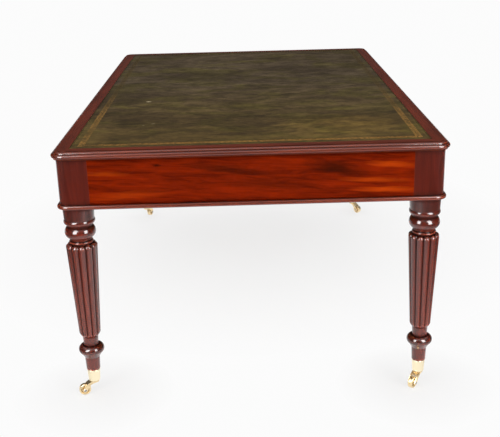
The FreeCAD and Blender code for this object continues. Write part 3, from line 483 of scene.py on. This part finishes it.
# %% Metal
STAIN_NOISE = {"Detail": 5.0, "Roughness": 0.6}
STAIN_BLUR, STAIN_DEPTH = 0.2, 0.8
CORNER_REACH = 4 * MM
CORNERS, CORNER_SAMPLES = (0.7, 0.2), 4
TOOL_MARK = 0.5 * MM
TOOL_NOISE = {"Detail": 2.0}
METAL_BUMP, METAL_DEPTH = 0.08, 0.05 * MM


def metal(name, bright, dull, spot_mm, shine, bare):
    """Metal that is bright on open faces and dull in spots and corners.

    Shine is roughness where bright and where dull. Bare is the noise level above which dull shows.
    """
    material, tree = new_material(name)
    coord = add(tree, "ShaderNodeTexCoord")["Object"]
    spots = add(tree, "ShaderNodeTexNoise", {
        "Vector": coord, "Scale": 1 / (spot_mm * MM), **STAIN_NOISE})["Fac"]
    fine = add(tree, "ShaderNodeTexNoise", {
        "Vector": coord, "Scale": 1 / TOOL_MARK, **TOOL_NOISE})["Fac"]
    stain = add(tree, "ShaderNodeMapRange", {
        "Value": spots, **span((bare, bare + STAIN_BLUR), (0.0, STAIN_DEPTH))})["Result"]
    open_share = add(tree, "ShaderNodeAmbientOcclusion", {"Distance": CORNER_REACH},
                     samples=CORNER_SAMPLES)["AO"]
    corner = add(tree, "ShaderNodeMapRange", {"Value": open_share, **span(CORNERS)})["Result"]
    dirt = add(tree, "ShaderNodeMath", {0: stain, 1: corner}, operation="MAXIMUM")["Value"]
    colour = add(tree, "ShaderNodeMix", {
        "Factor": dirt, MIX_A: paint(bright), MIX_B: paint(dull)}, **COLOURS)[MIX_OUT]
    rough = add(tree, "ShaderNodeMapRange", {"Value": dirt, **span(WHOLE, shine)})["Result"]
    bump = add(tree, "ShaderNodeBump", {
        "Height": fine, "Strength": METAL_BUMP, "Distance": METAL_DEPTH})["Normal"]
    shader = add(tree, "ShaderNodeBsdfPrincipled", {
        "Base Color": colour, "Metallic": 1.0, "Roughness": rough, "Normal": bump})["BSDF"]
    add(tree, "ShaderNodeOutputMaterial", {"Surface": shader})
    print("metal:", name)
    return material


# Cast and polished: pale gold with a broad soft highlight and few stains.
brass = metal("brass_cast_and_polished", bright="#faeccb", dull="#8a6430",
              spot_mm=14, shine=(0.36, 0.52), bare=0.62)
# Turned: deeper gold with brown spots.
floor_brass = metal("brass_turned_deep_gold", bright="#efd7ab", dull="#5f421c",
                    spot_mm=22, shine=(0.34, 0.50), bare=0.56)
# Drawn as wire: grey, a little sharper where it is bright.
steel = metal("steel_drawn_pin", bright="#a8a8aa", dull="#55504a",
              spot_mm=6, shine=(0.30, 0.55), bare=0.55)

# %% [markdown]
# ## Gold leaf
# Leaf pressed into leather is never whole. Sleeves rub it away until the hide shows through, and
# in the photograph less and less is seen toward the far end. The missing leaf could be cut out of
# the mesh, but a material can fade it softly: one noise swaps leaf for bare hide, and a second,
# broader one and the place along the table decide how much is left. What is left is gold mixed with
# hide, so it is only partly a metal.

# %% Gold leaf
GOLD, BARE_HIDE = "#dca456", "#54452a"
LEAF_SPOT, LEAF_PATCH = 9 * MM, 130 * MM
LEAF_SPOTS, LEAF_PATCHES = (0.68, 0.46), (0.78, 0.40)
LEAF_NOISE = {"Detail": 3.0}
# Places along the table, in metres, over which leaf comes in, and how much is left at both.
LEAF_FADE, LEAF_LEFT = (-0.05, -0.80), (0.03, 1.5)
LEAF_ROUGHNESS, LEAF_METAL = 0.5, 0.6


def gold_leaf_pressed():
    """Gold leaf with bare patches, almost whole at the near end and worn toward the far end."""
    material, tree = new_material("gold_leaf_pressed_and_rubbed")
    coord = add(tree, "ShaderNodeTexCoord")["Object"]
    place_y = add(tree, "ShaderNodeSeparateXYZ", {"Vector": coord})["Y"]
    left = add(tree, "ShaderNodeMapRange", {"Value": place_y, **span(LEAF_FADE, LEAF_LEFT)})["Result"]
    for size, limits in ((LEAF_SPOT, LEAF_SPOTS), (LEAF_PATCH, LEAF_PATCHES)):
        wear = add(tree, "ShaderNodeTexNoise", {
            "Vector": coord, "Scale": 1 / size, **LEAF_NOISE})["Fac"]
        whole = add(tree, "ShaderNodeMapRange", {"Value": wear, **span(limits)})["Result"]
        left = add(tree, "ShaderNodeMath", {0: left, 1: whole}, operation="MULTIPLY")["Value"]
    colour = add(tree, "ShaderNodeMix", {
        "Factor": left, MIX_A: paint(BARE_HIDE), MIX_B: paint(GOLD)}, **COLOURS)[MIX_OUT]
    gold_share = add(tree, "ShaderNodeMath", {0: left, 1: LEAF_METAL}, operation="MULTIPLY")["Value"]
    cells = add(tree, "ShaderNodeTexVoronoi", {"Vector": coord, "Scale": 1 / HIDE_CELL})["Distance"]
    bump = add(tree, "ShaderNodeBump", {
        "Height": cells, "Strength": HIDE_BUMP, "Distance": HIDE_DEPTH})["Normal"]
    shader = add(tree, "ShaderNodeBsdfPrincipled", {
        "Base Color": colour, "Metallic": gold_share, "Roughness": LEAF_ROUGHNESS, "Normal": bump,
        "Specular IOR Level": HIDE_SPECULAR})["BSDF"]
    add(tree, "ShaderNodeOutputMaterial", {"Surface": shader})
    return material


# Pressed in hot and rubbed for years: a broken line with a soft glint.
gold_leaf = gold_leaf_pressed()
print("gold leaf:", gold_leaf.name)

# %% [markdown]
# ## Dress the solids
# Legs, rims and rails take the wood whose fibres run along their own length, as a joiner would cut
# them. Knobs and dividers share the wood of the legs. Sixty names could be listed one by one, but
# the first words of a name say what the piece is, so a short list of beginnings is enough.

# %% Give each solid its surface
SURFACES = [
    ("top_edge_front", cross_mahogany),
    ("top_edge_back", cross_mahogany),
    ("top_edge_", long_mahogany),
    ("bead_front", cross_mahogany),
    ("bead_back", cross_mahogany),
    ("bead_", long_mahogany),
    ("end_rail_", flame_veneer),
    ("upper_rail_", long_mahogany),
    ("lower_rail_", long_mahogany),
    ("drawer_dividers", turned_mahogany),
    ("drawer_runners", planed_oak),
    ("drawer_kickers", planed_oak),
    ("centre_rail", planed_pine),
    ("top_board", planed_pine),
    ("top_screws", steel),
    ("leg_", turned_mahogany),
    ("caster_axle_", steel),
    ("caster_fork_", floor_brass),
    ("caster_wheel_", floor_brass),
    ("caster_", brass),
]
DRAWER_SURFACES = [("_front", front_veneer), ("_box", planed_oak), ("_knobs", turned_mahogany)]


def surface_of(node):
    """The material for a node, found by the way its name begins or, for a drawer, ends."""
    for start, material in SURFACES:
        if node.startswith(start):
            return material
    for end, material in DRAWER_SURFACES:
        if node.startswith("drawer_") and node.endswith(end):
            return material
    return leather


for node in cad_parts:
    mesh = bpy.data.objects[node].data
    mesh.materials.clear()
    mesh.materials.append(surface_of(node))
print("dressed", len(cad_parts), "solids")

# %% [markdown]
# ## The leather skin
# The leather is pasted to the board inside the moulded border. A flat face would do from afar, but
# paste never dries quite flat. So the skin is a thin slab with a fine grid on top, which sinks here
# and there by a small part of a millimetre, and its outermost row dips where the edge is pared thin
# and pushed down against the border. The slab stays inside the solid leather that it replaces.

# %% Leather skin
SKIN_STEP = 12 * MM
SKIN_RIPPLE = 0.12 * MM
RIPPLE_SIZE = 110 * MM
EDGE_DIP = 0.5 * MM
low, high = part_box("leather_top")


def grid_lines(start, end, step):
    """Evenly spaced places from start to end, no further apart than step."""
    count = math.ceil((end - start) / step)
    return [start + (end - start) * k / count for k in range(count + 1)]


def leather_skin():
    """A closed slab with a softly uneven top."""
    xs = grid_lines(low.x, high.x, SKIN_STEP)
    ys = grid_lines(low.y, high.y, SKIN_STEP)
    shape = bmesh.new()
    rows = []
    for i, x in enumerate(xs):
        row = []
        for j, y in enumerate(ys):
            rim = i in (0, len(xs) - 1) or j in (0, len(ys) - 1)
            ripple = SKIN_RIPPLE * (1 + noise.noise(Vector((x, y, 0)) / RIPPLE_SIZE)) / 2
            row.append(shape.verts.new((x, y, high.z - (EDGE_DIP if rim else ripple))))
        rows.append(row)
    for a, b in zip(rows, rows[1:]):
        for j in range(len(ys) - 1):
            shape.faces.new((a[j], b[j], b[j + 1], a[j + 1])).smooth = True
    outline = [edge for edge in shape.edges if edge.is_boundary]
    skirt = bmesh.ops.extrude_edge_only(shape, edges=outline)
    for item in skirt["geom"]:
        if isinstance(item, bmesh.types.BMVert):
            item.co.z = low.z
    bmesh.ops.contextual_create(shape, geom=[edge for edge in shape.edges if edge.is_boundary])
    bmesh.ops.recalc_face_normals(shape, faces=shape.faces)
    mesh = bpy.data.meshes.new("leather_skin")
    shape.to_mesh(mesh)
    shape.free()
    return mesh


print("leather field", round(high.x - low.x, 3), "by", round(high.y - low.y, 3), "m")

# %% [markdown]
# ## Lay the leather
# A mesh has to be put in the scene before it shows.

# %% Lay the leather
def place(name, mesh, material, body="frame"):
    """Put a mesh in the scene as a piece that rides on a body."""
    piece = bpy.data.objects.new(name, mesh)
    bpy.context.collection.objects.link(piece)
    mesh.materials.append(material)
    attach(piece, body)
    return piece


skin = place("leather_skin", leather_skin(), leather)
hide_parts("leather_top")
print("leather skin:", len(skin.data.vertices), "points")

# %% [markdown]
# ## Gilt tooling
# A binder rolls a heated brass wheel over gold leaf, which leaves the same small pattern again and
# again. It could be drawn by the leather's material, but lines this thin stay sharper as a mesh.
# All of it is made from three flat forms that lie a hair above the hide: a ribbon that follows any
# line, a rectangle with square corners, and a small polygon.

# %% Ribbons, lines and dots
LEAF_LIFT = 0.08 * MM
leaf_z = high.z + LEAF_LIFT
CORNER_SIGNS = [(-1, -1), (1, -1), (1, 1), (-1, 1)]


def ribbon(shape, points, width):
    """A flat strip along points in the plane of the leather."""
    sides = []
    for k, point in enumerate(points):
        before = points[k - 1] if k else point
        after = points[k + 1] if k < len(points) - 1 else point
        along = (after - before).normalized()
        across = Vector((-along.y, along.x, 0)) * width / 2
        sides.append((shape.verts.new(point + across), shape.verts.new(point - across)))
    for a, b in zip(sides, sides[1:]):
        shape.faces.new((a[0], a[1], b[1], b[0]))


def rectangle_line(shape, inset, width):
    """A plain line round the leather, with square corners."""
    rings = []
    for edge in (inset - width / 2, inset + width / 2):
        rings.append([shape.verts.new((sx * (high.x - edge), sy * (high.y - edge), leaf_z))
                      for sx, sy in CORNER_SIGNS])
    outer, inner = rings
    for k in range(len(CORNER_SIGNS)):
        after = (k + 1) % len(CORNER_SIGNS)
        shape.faces.new((outer[k], outer[after], inner[after], inner[k]))


def dot(shape, centre, radius, sides):
    """A small flat polygon."""
    turns = [2 * math.pi * k / sides for k in range(sides)]
    shape.faces.new([shape.verts.new(centre + Vector((math.cos(t), math.sin(t), 0)) * radius)
                     for t in turns])


print("gold leaf lies", LEAF_LIFT / MM, "mm above the hide")

# %% [markdown]
# ## The pattern of the tooling
# The pattern can't be read in the photograph, so a plain one stands for it: two pairs of lines with
# a running chain between them, which is two waves that cross, with a dot in each eye.
# The four runs stop at a lozenge in each corner. One eye could be modelled and repeated along the
# run, but a sine wave needs no joins and fits a run of any length.

# %% Chain and border
TOOL_INSET = 21 * MM
BAND = 15 * MM
LINE_GAP = 2.6 * MM
FINE_LINE = 1.3 * MM
EYE = 15 * MM
WAVE_HEIGHT = 5.0 * MM
WAVE_LINE = 1.6 * MM
WAVE_STEPS = 8
DOT = 2.0 * MM
DOT_SIDES, LOZENGE_SIDES = 6, 4


def chain(shape, start, end):
    """Two waves that cross along a run, with a dot in the middle of every eye."""
    run = end - start
    eyes = max(1, round(run.length / EYE))
    across = Vector((-run.y, run.x, 0)).normalized()
    shares = [k / (eyes * WAVE_STEPS) for k in range(eyes * WAVE_STEPS + 1)]
    for height in (WAVE_HEIGHT, -WAVE_HEIGHT):
        wave = [start + run * s + across * height * math.sin(math.pi * eyes * s) for s in shares]
        ribbon(shape, wave, WAVE_LINE)
    for k in range(eyes):
        dot(shape, start + run * ((k + 0.5) / eyes), DOT, DOT_SIDES)


def gilt_tooling():
    """Lines, chains and corner lozenges in one mesh."""
    shape = bmesh.new()
    inner_edge = TOOL_INSET + BAND
    for inset in (TOOL_INSET, TOOL_INSET + LINE_GAP, inner_edge - LINE_GAP, inner_edge):
        rectangle_line(shape, inset, FINE_LINE)
    middle = TOOL_INSET + BAND / 2
    corners = [Vector((sx * (high.x - middle), sy * (high.y - middle), leaf_z))
               for sx, sy in CORNER_SIGNS]
    for here, after in zip(corners, corners[1:] + corners[:1]):
        step = (after - here).normalized() * BAND / 2
        chain(shape, here + step, after - step)
        dot(shape, here, WAVE_HEIGHT, LOZENGE_SIDES)
    mesh = bpy.data.meshes.new("gilt_tooling")
    bmesh.ops.recalc_face_normals(shape, faces=shape.faces)
    shape.to_mesh(mesh)
    shape.free()
    return mesh


gilding = place("gilt_tooling", gilt_tooling(), gold_leaf)
print("gilt tooling:", len(gilding.data.polygons), "faces")

# %% [markdown]
# ## Floor
# The table stands on white paper in a dark studio, and polished wood shows both. Near the legs and
# behind the table the paper is bright, and toward the camera and the sides it falls into the dark,
# so the feet mirror white and the frieze mirrors the dark room. Real lamps and flags could do this,
# but Light Path does it in one material: it tells mirror rays from the rest, so the floor looks one
# way in the polish and another to the camera.

# %% What a mirror sees of the paper
# Places in metres where the mirrored paper goes from dark to bright, and how bright it is.
LIT_DEPTH, LIT_SIDE, BEHIND = (-2.2, -1.7), (1.4, 0.5), (0.0, 1.0)
ROOM_DARK, SIDE_LIGHT, MIRRORED_LIGHT = 0.04, 0.15, 1.05


def seen_and_mirrored(tree):
    """Sockets that are one for a ray from the camera, and for one that was mirrored or let through."""
    rays = add(tree, "ShaderNodeLightPath")
    mirror = add(tree, "ShaderNodeMath", {
        0: rays["Is Glossy Ray"], 1: rays["Is Transmission Ray"]}, operation="MAXIMUM")["Value"]
    return rays["Is Camera Ray"], mirror


def mirrored_paper(tree, coord):
    """How bright the paper is in a mirror."""
    spot = add(tree, "ShaderNodeSeparateXYZ", {"Vector": coord})
    depth = add(tree, "ShaderNodeMapRange", {
        "Value": spot["Y"], **span(LIT_DEPTH, (ROOM_DARK, MIRRORED_LIGHT))})["Result"]
    aside = add(tree, "ShaderNodeMath", {0: spot["X"]}, operation="ABSOLUTE")["Value"]
    middle = add(tree, "ShaderNodeMapRange", {
        "Value": aside, **span(LIT_SIDE, (SIDE_LIGHT, 1.0))})["Result"]
    behind = add(tree, "ShaderNodeMapRange", {"Value": spot["Y"], **span(BEHIND)})["Result"]
    open_paper = add(tree, "ShaderNodeMath", {0: middle, 1: behind}, operation="MAXIMUM")["Value"]
    return add(tree, "ShaderNodeMath", {0: depth, 1: open_paper}, operation="MULTIPLY")["Value"]


print("mirrored paper is", MIRRORED_LIGHT, "bright, the room", ROOM_DARK)

# %% [markdown]
# ## Shadow on the paper
# The white in the photograph is almost even, with a faint shadow under the table and a darker one
# at each foot. Lamps alone would make a much stronger shadow. So for camera rays a large share of
# the paper glows almost at strength one, which is white, and only the matt share takes the shadow.
# It is largest under the table and at the feet, and it fades to nothing away from there.

# %% Where the shadow shows
# Distances in metres over which the shadow fades, and the glowing share at both ends.
SHADOW_CENTRE = (0.0, 0.6, 0.0)
SHADOW_REACH, SHADOW_GLOW = (0.2, 1.2), (0.79, 1.0)
FOOT_REACH, FOOT_GLOW = (0.02, 0.24), (0.78, 1.0)
cup_low, cup_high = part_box("caster_cup_back_right")
FOOT_PLACE = ((cup_low.x + cup_high.x) / 2, (cup_low.y + cup_high.y) / 2, 0.0)


def glowing_share(tree, coord):
    """How much of the paper glows to the camera. Less glows in the shadow.

    Absolute coordinates fold the four feet into one.
    """
    away = add(tree, "ShaderNodeVectorMath", {0: coord, 1: SHADOW_CENTRE},
               operation="DISTANCE")["Value"]
    under = add(tree, "ShaderNodeMapRange", {
        "Value": away, **span(SHADOW_REACH, SHADOW_GLOW)})["Result"]
    folded = add(tree, "ShaderNodeVectorMath", {0: coord}, operation="ABSOLUTE")["Vector"]
    from_foot = add(tree, "ShaderNodeVectorMath", {0: folded, 1: FOOT_PLACE},
                    operation="DISTANCE")["Value"]
    at_foot = add(tree, "ShaderNodeMapRange", {
        "Value": from_foot, **span(FOOT_REACH, FOOT_GLOW)})["Result"]
    return add(tree, "ShaderNodeMath", {0: under, 1: at_foot}, operation="MINIMUM")["Value"]


print("a foot stands at", [round(value, 3) for value in FOOT_PLACE])

# %% [markdown]
# ## Paper
# Studio paper comes on a wide roll and is matt, with faint clouds of grey. A plain white would do
# from afar, but real paper is never quite even, so a broad noise mixes two whites. A Mix Shader puts
# the matt paper and its glow together. One large square is enough, because the paper lies flat.

# %% Paper
PAPER_DARK, PAPER_LIGHT = "#f4f4f4", "#fafafa"
PAPER_CLOUD = 700 * MM
PAPER_NOISE = {"Detail": 2.0}
PAPER_ROUGHNESS, PAPER_SPECULAR = 0.7, 0.1
BACKDROP = 0.97
WHITE = (1.0, 1.0, 1.0, 1.0)


def white_paper():
    """Matt paper that is white to the camera and fades into the dark in mirrors."""
    material, tree = new_material("paper_white_matt")
    coord = add(tree, "ShaderNodeTexCoord")["Object"]
    cloud = add(tree, "ShaderNodeTexNoise", {
        "Vector": coord, "Scale": 1 / PAPER_CLOUD, **PAPER_NOISE})["Fac"]
    tone = add(tree, "ShaderNodeMix", {
        "Factor": cloud, MIX_A: paint(PAPER_DARK), MIX_B: paint(PAPER_LIGHT)}, **COLOURS)[MIX_OUT]
    matt = add(tree, "ShaderNodeBsdfPrincipled", {
        "Base Color": tone, "Roughness": PAPER_ROUGHNESS,
        "Specular IOR Level": PAPER_SPECULAR})["BSDF"]
    seen, mirror = seen_and_mirrored(tree)
    strength = add(tree, "ShaderNodeMix", {
        "Factor": seen, NUMBER_A: mirrored_paper(tree, coord), NUMBER_B: BACKDROP})["Result"]
    share = add(tree, "ShaderNodeMix", {
        "Factor": seen, NUMBER_A: mirror, NUMBER_B: glowing_share(tree, coord)})["Result"]
    light = add(tree, "ShaderNodeEmission", {"Color": WHITE, "Strength": strength})["Emission"]
    both = add(tree, "ShaderNodeMixShader", {"Fac": share, 1: matt, 2: light})["Shader"]
    add(tree, "ShaderNodeOutputMaterial", {"Surface": both})
    return material


# Pressed smooth and uncoated: an even white without a highlight.
paper = white_paper()
print("paper:", paper.name)

# %% Lay the floor
FLOOR_SIZE = 12.0

shape = bmesh.new()
bmesh.ops.create_grid(shape, x_segments=1, y_segments=1, size=FLOOR_SIZE / 2)
mesh = bpy.data.meshes.new("paper_floor")
shape.to_mesh(mesh)
shape.free()
mesh.materials.append(paper)
floor = bpy.data.objects.new("paper_floor", mesh)
bpy.context.collection.objects.link(floor)
print("floor", FLOOR_SIZE, "m wide")

# %% [markdown]
# ## Room
# A studio is dark except for its lamps and the white behind the table. Walls could be built, but
# the world can do their three jobs: it lights matt surfaces evenly, it is a dark room with a pale
# ceiling for mirrors, and it is white for the camera. The direction of a ray is the Generated
# coordinate of the world, so its height tells the ceiling from the room.

# %% Room
ROOM_LIGHT = 0.30
CEILING_HEIGHT, CEILING = (0.60, 0.85), (ROOM_DARK, 1.1)

world = bpy.data.worlds.new("studio")
bpy.context.scene.world = world
world.use_nodes = True
tree = world.node_tree
tree.nodes.clear()
way = add(tree, "ShaderNodeSeparateXYZ", {"Vector": add(tree, "ShaderNodeTexCoord")["Generated"]})
pale = add(tree, "ShaderNodeMapRange", {"Value": way["Z"], **span(CEILING_HEIGHT, CEILING)})["Result"]
seen, mirror = seen_and_mirrored(tree)
unseen = add(tree, "ShaderNodeMix", {
    "Factor": mirror, NUMBER_A: ROOM_LIGHT, NUMBER_B: pale})["Result"]
strength = add(tree, "ShaderNodeMix", {
    "Factor": seen, NUMBER_A: unseen, NUMBER_B: BACKDROP})["Result"]
light = add(tree, "ShaderNodeBackground", {"Color": WHITE, "Strength": strength})["Background"]
add(tree, "ShaderNodeOutputWorld", {"Surface": light})
print("room light", ROOM_LIGHT)

# %% [markdown]
# ## Lamps
# Two tall soft boxes stand left and right in front of the table. In polish they are so bright that
# they burn out to white, which draws the twin highlights on every bulb of the legs. As lamps they
# must only light the wood to a plain level. One pair of lamps can't do both, so each job has its
# own: the boxes are hidden from matt surfaces, and the lamps that light the wood are hidden from
# mirrors. The front lamps have grids, which is a small spread here, and look at the legs, so that
# the frieze stays a little darker than the legs.

# %% Lamps
BOX_SIZE, LAMP_SIZE, TOP_SIZE = (0.95, 2.0), (0.9, 1.4), (2.4, 3.2)
FOR_MIRRORS, FOR_MATT = True, False
OPEN, GRID = 180, 52
LAMPS = [
    # name, place, aim, size, watts, spread in degrees, what it lights
    ("highlight_left", (-1.40, -2.20, 1.45), (-0.40, -0.80, 0.60), BOX_SIZE, 80, OPEN, FOR_MIRRORS),
    ("highlight_right", (1.40, -2.20, 1.45), (0.40, -0.80, 0.60), BOX_SIZE, 80, OPEN, FOR_MIRRORS),
    ("lamp_left", (-1.6, -2.3, 0.6), (-0.5, -0.8, 0.05), LAMP_SIZE, 4.5, GRID, FOR_MATT),
    ("lamp_right", (1.6, -2.3, 0.6), (0.3, -0.8, 0.10), LAMP_SIZE, 5.6, GRID, FOR_MATT),
    ("lamp_top", (0.0, 0.2, 3.2), (0.0, 0.0, 0.0), TOP_SIZE, 44, OPEN, FOR_MATT),
]


def soft_box(name, place_at, look_at, size, watts, spread, mirrors):
    """A rectangular lamp that faces a point and is seen either by mirrors or by matt surfaces."""
    lamp = bpy.data.lights.new(name, "AREA")
    lamp.shape = "RECTANGLE"
    lamp.size, lamp.size_y = size
    lamp.energy = watts
    lamp.spread = math.radians(spread)
    holder = bpy.data.objects.new(name, lamp)
    bpy.context.collection.objects.link(holder)
    holder.location = place_at
    aim = Vector(look_at) - Vector(place_at)
    holder.rotation_euler = aim.to_track_quat("-Z", "Y").to_euler()
    holder.visible_camera = False
    holder.visible_diffuse = not mirrors
    holder.visible_glossy = mirrors


for lamp_facts in LAMPS:
    soft_box(*lamp_facts)
print("lamps:", len(LAMPS))

# %% [markdown]
# ## Camera
# The photograph was taken from about chest height, straight at the short end and a little down. A
# camera could be turned by hand until it looks right. This one was found by fitting the edges of
# the top, the axes of the legs and the wheels of the table to their places in the picture, which
# gives its place in metres, its turn in radians, and its focal length and centre in pixels.

# %% Camera
CAMERA_PLACE = Vector((-0.01635, -3.05094, 1.34122))
PITCH, YAW, ROLL = 0.33999, 0.00848, 0.02538
PICTURE_WIDTH = 500
FOCAL_PIXELS = 870.15
CENTRE_ACROSS, CENTRE_UP = 3.47, -1.83
SENSOR_MM = 36.0

ahead = Vector((math.sin(YAW) * math.cos(PITCH), math.cos(YAW) * math.cos(PITCH), -math.sin(PITCH)))
level = Vector((math.cos(YAW), -math.sin(YAW), 0))
down = ahead.cross(level)
right = math.cos(ROLL) * level + math.sin(ROLL) * down
up = math.sin(ROLL) * level - math.cos(ROLL) * down
lens = bpy.data.cameras.new("camera")
lens.sensor_width = SENSOR_MM
lens.lens = FOCAL_PIXELS / PICTURE_WIDTH * SENSOR_MM
lens.shift_x = -CENTRE_ACROSS / PICTURE_WIDTH
lens.shift_y = CENTRE_UP / PICTURE_WIDTH
camera = bpy.data.objects.new("camera", lens)
bpy.context.collection.objects.link(camera)
turned = Matrix((right, up, -ahead)).transposed().to_4x4()
camera.matrix_world = Matrix.Translation(CAMERA_PLACE) @ turned
bpy.context.scene.camera = camera
bpy.context.scene.view_settings.view_transform = "Standard"
print("camera lens", round(lens.lens, 1), "mm")

# %% [markdown]
# ## Finish

# %% Finish
print("scene ready")
